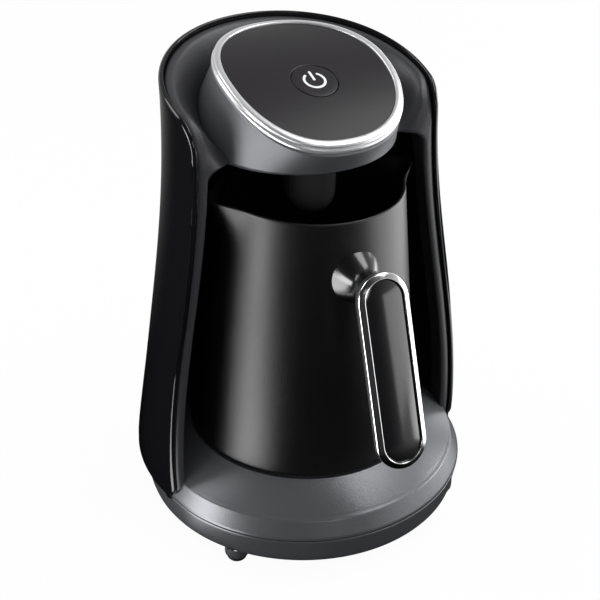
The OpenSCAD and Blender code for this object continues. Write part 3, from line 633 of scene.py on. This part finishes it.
def build_panel():
    """From the button's opening out to the ring."""
    hole, outer = button_ring(BUTTON_R), egg(-0.08)
    rows = [under_bow(hole, 1.6), under_bow(hole, 0.25)]
    for t in np.concatenate([[0.004, 0.012, 0.025], np.linspace(0.05, 0.98, 26), [0.99, 1.0]]):
        edge_round = 0.25 * max(0, 1 - t / 0.012) ** 2
        rows.append(under_bow(lerp(hole, outer, t), edge_round + (0.3 if t == 1.0 else 0)))
    rows.append(under_bow(outer, 1.6))
    loft("panel_face", rows, "panel", "panel", flip=True, replaces=["top_panel"])


def build_button():
    """A cap with a soft edge, a hair below the panel."""
    profile = ((9.12, 1.8), (9.12, 0.28), (9.05, 0.14), (8.9, 0.04), (8.6, 0), (7, 0), (5, 0), (3, 0),
               (1, 0), (0.3, 0))
    rows = [under_bow(button_ring(r), drop + 0.03) for r, drop in profile]
    loft("button_face", rows, "panel", "panel", cap_end=True, body="button", replaces=["button_cap"])


def sign_stroke(path):
    """A stroke of the sign along a path, with round ends, laid on the button."""
    path, r = np.array(path), SIGN_W / 2
    ahead = unit(np.gradient(path, axis=0))
    ends = [(r * math.cos(a), max(r * math.sin(a), 0.005)) for a in np.linspace(0, math.pi / 2, 9)[:-1]]
    stations = [(path[0] - ahead[0] * past, ahead[0], half) for past, half in ends]
    stations += [(p, d, r) for p, d in zip(path, ahead)]
    stations += [(path[-1] + ahead[-1] * past, ahead[-1], half) for past, half in reversed(ends)]
    rows = []
    for p, d, half in stations:
        across = np.array([-d[1], d[0]]) * half
        xy = np.array([p + across, p - across])
        xy[:, 1] = BUTTON_Y + xy[:, 1] * math.cos(BUTTON_TILT)
        rows.append(under_bow(xy, -0.02))
    return sheet_of(rows, closed=False)


def build_sign():
    start, whole = math.pi / 2 + SIGN_GAP, 2 * (math.pi - SIGN_GAP)
    arc = [(SIGN_R * math.cos(a), SIGN_R * math.sin(a)) for a in start + whole * np.linspace(0, 1, 56)]
    bar = [(0.0, y) for y in np.linspace(SIGN_LOW, SIGN_TOP, 8)]
    sign = joined([sign_stroke(arc), sign_stroke(bar)])
    finish_piece("power_sign", sign, "white_mark", "white_mark", body="button", replaces=["button_icon"])


# ------------------------------------------------------------------ base
def base_outline(inset, z):
    a = turn(BASE_N)
    reach = np.where(np.sin(a) > 0, BASE_B, BASE_F) - inset
    return np.column_stack([(BASE_A - inset) * np.cos(a), BASE_Y + reach * np.sin(a), np.full(BASE_N, z)])


def seat_ring(r, z):
    return circle(BASE_N, r, z, POT_Y)


def build_base_top():
    """Leaning band, round shoulder, dome up to the lip, groove, seat for the pot, hole for the socket."""
    rows = [base_outline(inset, SEAM + up)
            for inset, up in ((3.0, 0.2), (0.7, 0.2), (0.35, 0.25), (0.25, 0.5))]
    rows += [base_outline(lerp(0.25, SHOULDER_IN, t), lerp(SEAM + 0.5, SHOULDER, t))
             for t in (0.15, 0.35, 0.6, 0.8, 0.9)]
    low, lip = base_outline(SHOULDER_IN + 0.5, SHOULDER + 0.2), seat_ring(LIP_R, LIP)
    start = base_outline(SHOULDER_IN * 0.95, lerp(SEAM, SHOULDER, 0.95))
    middle, end = base_outline(SHOULDER_IN + 0.05, SHOULDER + 0.05), lerp(low, lip, 0.04)
    rows += [(1 - t) ** 2 * start + 2 * t * (1 - t) * middle + t * t * end
             for t in (0.0, 0.25, 0.5, 0.75, 1.0)]
    for t in np.linspace(0.07, 0.95, 16):
        dome = lerp(low, lip, t)
        dome[:, 2] += 1.5 * t * (1 - t)
        rows.append(dome)
    rows += [seat_ring(LIP_R + off, LIP - drop)
             for off, drop in ((0.25, 0.06), (0, 0), (-0.25, 0.04), (-0.45, 0.2), (-0.5, 0.5))]
    groove = ((LIP_R - 0.5, 0.4), (LIP_R - 0.7, 0.7), (SEAT_R + 0.3, 0.7), (SEAT_R + 0.1, 0.4))
    seat = ((SEAT_R, 0), (30, 0), (SOCKET_R + 0.3, 0), (SOCKET_R, 0.3), (SOCKET_R, 8))
    rows += [seat_ring(r, SEAT - drop) for r, drop in groove + seat]
    loft("base_top", rows, "grey_metallic", "grey_metallic", replaces=["base_upper"])


def build_base_bottom():
    """The tray, with a boss for each foot."""
    rows = [base_outline(inset, TRAY + up)
            for inset, up in ((12, 0), (5.5, 0), (4.6, 0.15), (3.4, 0.6), (2.4, 1.3), (1.7, 2.4))]
    rows += [base_outline(lerp(1.7, 0.2, t), lerp(TRAY + 2.4, SEAM - 0.45, t))
             for t in (0.2, 0.45, 0.7, 0.9, 1.0)]
    rows += [base_outline(inset, SEAM - drop) for inset, drop in ((0.3, 0.22), (0.7, 0.18), (3, 0.18))]
    boss = ((4.4, 2.3), (4.75, 2.35), (4.95, 2.6), (5.1, 3.6), (5.1, 4.6), (5.1, 5.4), (5.0, 7.0))
    bosses = [sheet_of([circle(SMALL_N, r, z, y, x) for r, z in boss]) for x, y in FEET.values()]
    finish_piece("base_bottom", joined([sheet_of(rows, cap_start=True)] + bosses),
                 "grey_metallic", "grey_metallic", replaces=["base_lower"])


def build_seam_shade_ring():
    """A black ring behind the gap between the two shells: painted shade, so the seam shows as a dark line.
    """
    rows = [base_outline(inset, SEAM + up) for inset, up in ((3, -1), (0.62, -1), (0.62, 1), (3, 1))]
    # painted shade: black ring inside the seam gap that stands in for the shadow there
    loft("seam_shade_ring", rows, "black_plastic", "black_plastic")


# ------------------------------------------------------------------ pot
def wall_r(z):
    return lerp(POT_R, POT_TOP_R, (z - POT_Z) / (POT_TOP - POT_Z))


def pot_ring(off, z):
    """A ring of the pot's wall, off mm inside it, with the two pouring lips near the rim."""
    a = turn(POT_N)
    from_front = np.abs((np.degrees(a) + 180) % 360 - 180)
    from_lip = np.minimum(from_front, 180 - from_front)
    lip = np.exp(-(from_lip / SPOUT_SPREAD) ** 2)
    k = float(clamp01((z - POT_TOP + SPOUT_Z) / SPOUT_Z))
    r = wall_r(z) - off + SPOUT_OUT * lip * k ** 2.2
    return np.column_stack([r * np.cos(a), POT_Y + r * np.sin(a), z + SPOUT_UP * lip * k ** 4])


def heights(low, high, n_wall, n_lip):
    """Heights from low to high on the pot's wall, closer together where the lips stand out."""
    return [*np.linspace(low, POT_TOP - SPOUT_Z - 2, n_wall), *np.linspace(POT_TOP - SPOUT_Z, high, n_lip)]


def build_pot():
    """Rounded foot, outer wall, rolled rim, inner wall and floor."""
    rows = [circle(POT_N, r, POT_Z - 0.2, POT_Y) for r in (40, POT_R - 1.6)]
    for a in np.radians([20, 45, 70, 90]):
        rows.append(pot_ring(1.5 * (1 - math.sin(a)), POT_Z + 1.5 * (1 - math.cos(a)) - 0.2))
    rows += [pot_ring(0, z) for z in heights(POT_Z + 2.5, POT_TOP - 0.5, 24, 30)]
    for off, up in ((0.05, -0.25), (0.2, -0.08), (0.45, 0.0), (0.8, 0.0), (1.05, -0.08), (1.18, -0.25)):
        rows.append(pot_ring(off, POT_TOP) + np.array([0, 0, up]))
    rows += [pot_ring(POT_T, z) for z in reversed(heights(POT_Z + 18, POT_TOP - 0.6, 14, 26))]
    for a in np.radians([20, 50, 90]):
        rows.append(pot_ring(POT_T + 4 * (1 - math.cos(a)), POT_FLOOR + 4 * (1 - math.sin(a))))
    rows.append(circle(POT_N, 0.5, POT_FLOOR, POT_Y))
    loft("pot_skin", rows, "pot_black", "pot_black", cap_end=True, body="pot", replaces=["pot_body"])


# ------------------------------------------------------------------ handle
def at_grip(u, v, w):
    """u across the grip, v up along its face, w out of its face."""
    s, c = math.sin(GRIP_LEAN), math.cos(GRIP_LEAN)
    return np.stack([u, GRIP_Y + v * s - w * c, GRIP_Z + v * c + w * s], -1)


def stadium(off):
    """The grip's outline: two half circles and two straights, off mm inside its edge."""
    r, straight = GRIP_W / 2 - off, 26
    top, low = -GRIP_W / 2, -GRIP_L + GRIP_W / 2
    a = np.linspace(0, math.pi, 48)
    head = np.stack([r * np.cos(a), top + r * np.sin(a)], 1)
    left = np.stack([np.full(straight, -r), np.linspace(top, low, straight)], 1)[1:-1]
    foot = np.stack([-r * np.cos(a), low - r * np.sin(a)], 1)
    right = np.stack([np.full(straight, r), np.linspace(low, top, straight)], 1)[1:-1]
    return np.concatenate([head, left, foot, right])


def stadium_rows(profile):
    """Rings from (in from the edge, out of the face) pairs."""
    return [at_grip(*stadium(off).T, w) for off, w in profile]


def build_grip():
    """Bright band with a flat bevel, glossy crowned inlay and rounded back."""
    band = [(2.6, -1.6), (2.6, -0.3), (2.52, -0.1), (2.35, -0.02), (2.15, -0.03), (2.0, -0.09),
            (1.2, -0.41), (0.55, -0.69), (0.3, -0.84), (0.1, -1.12), (0.0, -1.5), (0.0, -2.2),
            (0.05, -2.6), (0.25, -2.9), (1.2, -2.95)]
    crown = [(2.68, -2.5), (2.68, -1.0), (2.78, -0.82), (3.0, -0.7)]
    crown += [(3.0 + 7.75 * t, -0.7 + 0.75 * (1 - (1 - t) ** 2)) for t in np.linspace(0.06, 1, 16)]
    back = [(1.2, -2.9), (0.5, -2.95), (0.35, -3.2), (0.4, -4.2), (0.7, -4.9), (1.3, -5.35), (2.2, -5.58)]
    back += [(off, -GRIP_T) for off in (4, 8, 10.7)]
    loft("grip_trim", stadium_rows(band), "bright_edge", "bright_trim",
         flip=True, body="pot", replaces=["handle_trim"])
    loft("grip_inlay", stadium_rows(crown), "inlay_black", "gloss_black",
         cap_end=True, body="pot", replaces=["handle_inlay"])
    loft("grip_back", stadium_rows(back), "charcoal", "charcoal",
         flip=True, cap_end=True, body="pot", replaces=["handle_grip"])


def build_neck():
    """A barrel from the pot (k = 0) to the grip (k = 1) that flares softly into the pot."""
    a = turn(SMALL_N)
    rows = []
    for k in [*np.linspace(-0.03, 0.5, 22), 0.6, 0.7, 0.8, 0.86, 0.92, 0.98, 1.06]:
        flare = NECK_FLARE * max(0.0, 1 - k / 0.55) ** 1.45
        cuff = NECK_CUFF * max(0.0, (k - 0.8) / 0.26) ** 2
        r = NECK_R + flare + cuff
        up = NECK_Z + r * np.sin(a)
        root = POT_Y - np.sqrt(np.maximum(wall_r(up) ** 2 - (r * np.cos(a)) ** 2, 0))
        end = GRIP_Y - (GRIP_Z - up) * math.tan(GRIP_LEAN) + GRIP_T / math.cos(GRIP_LEAN)
        rows.append(np.column_stack([r * np.cos(a), lerp(root, end, k), up]))
    loft("neck_barrel", rows, "satin_black", "gloss_black", body="pot", replaces=["handle_neck"])


# ------------------------------------------------------------------ sensor window and feet
def build_window():
    """A long smoked dome that hangs from the ceiling."""
    dome = [(WINDOW_R * math.sin(a), WINDOW_Z + WINDOW_DEEP * (1 - math.cos(a)))
            for a in np.radians(list(range(1, 90, 6)) + [90])]
    wall = [(WINDOW_R, 151.4), (WINDOW_R, 163.4)]
    rows = [circle(SMALL_N, r, z, WINDOW_Y, stretch=WINDOW_LONG) for r, z in dome + wall]
    loft("window_dome", rows, "smoked_window", "smoked_window",
         cap_start=True, replaces=["sensor_window"])


def build_feet():
    """One rubber pad under each boss."""
    pad = ((0.1, 0), (3.2, 0), (3.7, 0.1), (4.0, 0.5), (4.25, 1.4), (4.35, 2.9))
    for name, (x, y) in FEET.items():
        rows = [circle(SMALL_N, r, z, y, x) for r, z in pad]
        loft(name + "_pad", rows, "foot_rubber", "foot_rubber", cap_start=True, replaces=[name])


# ------------------------------------------------------------------ stage
# brightness that gloss sees: sky low down and overhead, floor near by and far off, its two lit patches
HORIZON, OVERHEAD, NEAR_FLOOR, FAR_FLOOR, LEFT_FLOOR, RIGHT_FLOOR = 0.9, 0.35, 0.006, 0.6, 6.8, 2.6
# where sky and far floor are brightest, from +x
SKY_SIDE, FLOOR_SIDE = math.radians(40), math.radians(22)
# metres from the middle over which the floor grows paler, and over which the left patch ends
DARK_TO_PALE, LEFT_END = (0.09, 0.8), (1.7, 1.0)
# edges of the lit patches: a way along the floor, and the metres along it that are dark and lit;
# the left one is a wedge, clear of what the shell's side shows
LEFT_EDGES = (((0.14, 1, 0), -0.021, -0.034), ((-0.16, 1, 0), -0.06, -0.035), ((-1, 0, 0), 0.07, 0.09))
RIGHT_EDGES = (((0.6, -0.8, 0), 0.07, 0.13), ((0.8, 0.6, 0), 0.03, 0.09))
WHITE, SOFT_SKY = (1, 1, 1, 1), (0.55, 0.55, 0.56, 1)
PALE_GREY, MID_GREY = (0.8, 0.8, 0.8, 1), (0.35, 0.35, 0.35, 1)


def smooth_step(nt, source, start, end, low, high, at=(0, 0)):
    """A smooth change of a value from low at start to high at end."""
    mr = node(nt, "ShaderNodeMapRange", at, interpolation_type="SMOOTHSTEP")
    for k, v in enumerate((start, end, low, high)):
        mr.inputs[k + 1].default_value = v
    nt.links.new(source, mr.inputs[0])
    return mr.outputs[0]


def maths(nt, operation, a, b, at=(0, 0)):
    n = node(nt, "ShaderNodeMath", at, operation=operation)
    nt.links.new(a, n.inputs[0])
    nt.links.new(b, n.inputs[1])
    return n.outputs[0]


def along(nt, source, vec, at=(0, 0)):
    """How far a point or direction reaches along vec."""
    n = node(nt, "ShaderNodeVectorMath", at, operation="DOT_PRODUCT")
    n.inputs[1].default_value = vec
    nt.links.new(source, n.inputs[0])
    return n.outputs["Value"]


def level_way(angle):
    return math.cos(angle), math.sin(angle), 0.0


def gloss_or_through(nt, rays, at):
    """1 for rays off gloss and for rays through glass."""
    return maths(nt, "MAXIMUM", rays.outputs["Is Glossy Ray"], rays.outputs["Is Transmission Ray"], at)


def studio_world():
    """White to the camera and soft grey to the rest; gloss sees a horizon, pale at the right and back."""
    w = bpy.data.worlds.new("studio")
    bpy.context.scene.world = w
    w.use_nodes = True
    nt = w.node_tree
    rays = node(nt, "ShaderNodeLightPath", (-900, 0))
    place = node(nt, "ShaderNodeTexCoord", (-1100, -300))
    parts = node(nt, "ShaderNodeSeparateXYZ", (-900, -300))
    nt.links.new(place.outputs["Generated"], parts.inputs[0])
    up = smooth_step(nt, parts.outputs["Z"], 0.0, 0.75, HORIZON, OVERHEAD, (-700, -300))
    toward = along(nt, place.outputs["Generated"], level_way(SKY_SIDE), (-900, -500))
    side = smooth_step(nt, toward, -0.5, 0.5, 0.03, 1.0, (-700, -500))
    sky = node(nt, "ShaderNodeMix", (-450, -100), data_type="RGBA")
    nt.links.new(gloss_or_through(nt, rays, (-700, -100)), sky.inputs["Factor"])
    sky.inputs[6].default_value = SOFT_SKY
    nt.links.new(maths(nt, "MULTIPLY", up, side, (-550, -350)), sky.inputs[7])
    seen = node(nt, "ShaderNodeMix", (-250, 0), data_type="RGBA")
    nt.links.new(rays.outputs["Is Camera Ray"], seen.inputs["Factor"])
    nt.links.new(sky.outputs[2], seen.inputs[6])
    seen.inputs[7].default_value = WHITE
    nt.links.new(seen.outputs[2], nt.nodes["Background"].inputs["Color"])


def floor_patch(nt, spot, level, edges, y):
    """A lit patch of the floor that lies inside some soft edges."""
    patch = None
    for k, (way, dark, full) in enumerate(edges):
        reach = along(nt, spot, way, (-1100, y - 150 * k))
        edge = smooth_step(nt, reach, dark, full, 0.0, 1.0 if patch else level, (-900, y - 150 * k))
        patch = maths(nt, "MULTIPLY", patch, edge, (-700, y - 150 * k)) if patch else edge
    return patch


def floor_light(nt):
    """What gloss sees of the floor: dark near the machine, paler far off, one lit patch on each side."""
    spot = node(nt, "ShaderNodeNewGeometry", (-1300, -200)).outputs["Position"]
    flat = node(nt, "ShaderNodeVectorMath", (-1100, -200), operation="MULTIPLY")
    flat.inputs[1].default_value = (1, 1, 0)
    nt.links.new(spot, flat.inputs[0])
    far = node(nt, "ShaderNodeVectorMath", (-900, -350), operation="LENGTH")
    nt.links.new(flat.outputs[0], far.inputs[0])
    far = far.outputs["Value"]
    heading = node(nt, "ShaderNodeVectorMath", (-900, -100), operation="NORMALIZE")
    nt.links.new(flat.outputs[0], heading.inputs[0])
    toward = along(nt, heading.outputs[0], level_way(FLOOR_SIDE), (-900, -250))
    lit = maths(nt, "MULTIPLY", smooth_step(nt, far, *DARK_TO_PALE, NEAR_FLOOR, FAR_FLOOR, (-700, -350)),
                smooth_step(nt, toward, -0.3, 0.6, 0.04, 1.0, (-700, -150)), (-600, -250))
    left = maths(nt, "MULTIPLY", floor_patch(nt, spot, LEFT_FLOOR, LEFT_EDGES, -500),
                 smooth_step(nt, far, *LEFT_END, 0.0, 1.0, (-700, -400)), (-500, -450))
    right = floor_patch(nt, spot, RIGHT_FLOOR, RIGHT_EDGES, -1050)
    return maths(nt, "ADD", maths(nt, "ADD", lit, left, (-400, -500)), right, (-300, -500))


def chosen(nt, factor, low, high, at):
    """One shader where factor is 0, the other where it is 1."""
    n = node(nt, "ShaderNodeMixShader", at)
    nt.links.new(factor, n.inputs[0])
    nt.links.new(low.outputs[0], n.inputs[1])
    nt.links.new(high.outputs[0], n.inputs[2])
    return n


def studio_floor():
    """Nearly pure white to the camera, with the machine's soft shadow; a plain grey to the other light."""
    bm = bmesh.new()
    bmesh.ops.create_grid(bm, x_segments=1, y_segments=1, size=3)
    me = bpy.data.meshes.new("floor")
    bm.to_mesh(me)
    bm.free()
    ob = bpy.data.objects.new("floor", me)
    bpy.context.scene.collection.objects.link(ob)
    m = bpy.data.materials.new("floor_white")
    m.use_nodes = True
    nt = m.node_tree
    nt.nodes.remove(nt.nodes["Principled BSDF"])
    rays = node(nt, "ShaderNodeLightPath", (-900, 300))
    sheen = node(nt, "ShaderNodeEmission", (-150, -200), Color=WHITE)
    nt.links.new(floor_light(nt), sheen.inputs["Strength"])
    dim = node(nt, "ShaderNodeBsdfDiffuse", (-350, -100), Color=MID_GREY)
    shaded = node(nt, "ShaderNodeBsdfDiffuse", (-350, 0), Color=PALE_GREY)
    bright = node(nt, "ShaderNodeEmission", (-350, 120), Color=WHITE, Strength=1.0)
    seen = node(nt, "ShaderNodeMixShader", (-150, 50), Fac=0.96)
    nt.links.new(shaded.outputs[0], seen.inputs[1])
    nt.links.new(bright.outputs[0], seen.inputs[2])
    unseen = chosen(nt, gloss_or_through(nt, rays, (-650, 300)), dim, sheen, (50, 0))
    both = chosen(nt, rays.outputs["Is Camera Ray"], unseen, seen, (250, 0))
    nt.links.new(both.outputs[0], nt.nodes["Material Output"].inputs[0])
    me.materials.append(m)


CAMERA_LENS, CAMERA_SENSOR = 75.0825, 36.0
CAMERA_AT = (-0.215369, -0.391847, 0.366210)
CAMERA_RIGHT = (0.88967, -0.45558, 0.030564)
CAMERA_UP = (0.21464, 0.47636, 0.85265)
CAMERA_BACK = (-0.40301, -0.75201, 0.52159)


def place_camera():
    """A camera at the machine's left front, a little above it."""
    cam = bpy.data.cameras.new("camera")
    cam.lens, cam.sensor_width = CAMERA_LENS, CAMERA_SENSOR
    cam.clip_start, cam.clip_end = 0.01, 20
    ob = bpy.data.objects.new("camera", cam)
    bpy.context.scene.collection.objects.link(ob)
    stand = Matrix((CAMERA_RIGHT, CAMERA_UP, CAMERA_BACK)).transposed().to_4x4()
    stand.translation = CAMERA_AT
    ob.matrix_world = stand
    bpy.context.scene.camera = ob


def softbox(name, at, aim_z, wide, tall, level):
    """A softbox of one brightness that faces the machine's middle line, with sides in metres."""
    lamp = bpy.data.lights.new(name, "AREA")
    lamp.shape, lamp.size, lamp.size_y = "RECTANGLE", wide, tall
    lamp.energy = level * math.pi * wide * tall
    ob = bpy.data.objects.new(name, lamp)
    bpy.context.scene.collection.objects.link(ob)
    ob.location = at
    ob.rotation_euler = (Vector((0, 0, aim_z)) - Vector(at)).to_track_quat("-Z", "Y").to_euler()
    ob.visible_camera = False


def place_lamps():
    """Softboxes: name, place, height aimed at, width, height and brightness."""
    softbox("left", (-0.98, 0.02, 0.20), 0.05, 0.42, 0.36, 10.0)
    softbox("high left", (-0.522, 0.438, 0.731), 0.1, 0.36, 0.5, 4.0)
    softbox("front", (-0.02, -0.86, 0.52), 0.15, 0.24, 0.24, 3.0)
    softbox("right", (0.60, -0.66, 0.21), 0.1, 0.58, 0.24, 1.1)
    softbox("low right", (0.92, -0.16, 0.30), 0.1, 0.4, 0.3, 8.0)
    softbox("top", (0.455, -0.14, 0.88), 0.1, 0.7, 0.38, 4.2)
    softbox("back", (0.80, 0.58, 0.15), 0.1, 0.5, 0.28, 2.2)


finish_solids()
build_shell()
build_front_frame()
build_head()
build_ring()
build_panel()
build_button()
build_sign()
build_base_top()
build_base_bottom()
build_seam_shade_ring()
build_pot()
build_grip()
build_neck()
build_window()
build_feet()
studio_world()
studio_floor()
place_camera()
place_lamps()
bpy.context.scene.view_settings.view_transform = "Standard"
